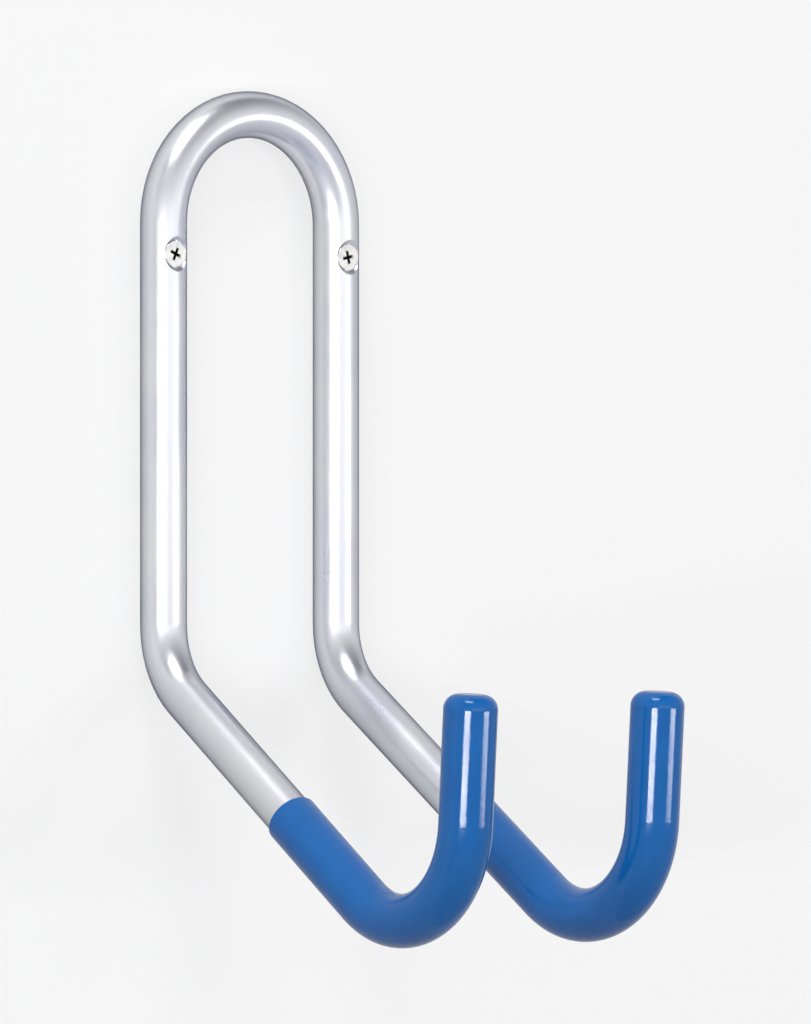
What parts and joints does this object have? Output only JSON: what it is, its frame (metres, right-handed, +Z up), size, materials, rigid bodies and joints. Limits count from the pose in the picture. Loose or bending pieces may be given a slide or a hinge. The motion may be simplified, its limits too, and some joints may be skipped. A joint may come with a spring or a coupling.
{
  "type": "bike wall hook",
  "caption": "Wall hook for hanging a bicycle by its handlebar: bent steel tube with an arched back, straight legs, sloping arms and upturned hooks in blue sleeves.",
  "frame": {"origin": "midway between the axes of the wall screws, on the wall's face", "axes": "+X along the wall to the right as seen from the room, +Y into the wall, +Z up"},
  "size_m": [0.0984, 0.2304, 0.2883],
  "materials": {
    "zinc_tube": "bright zinc plating",
    "blue_pvc": "smooth gloss",
    "zinc_screw": "zinc plating",
    "grey_nylon": "matt moulding"
  },
  "bodies": {
    "root": {"bent_tube": "zinc_tube", "left_sleeve": "blue_pvc", "right_sleeve": "blue_pvc", "left_wall_screw": "zinc_screw", "right_wall_screw": "zinc_screw", "left_wall_plug": "grey_nylon", "right_wall_plug": "grey_nylon"}
  },
  "joints": []
}
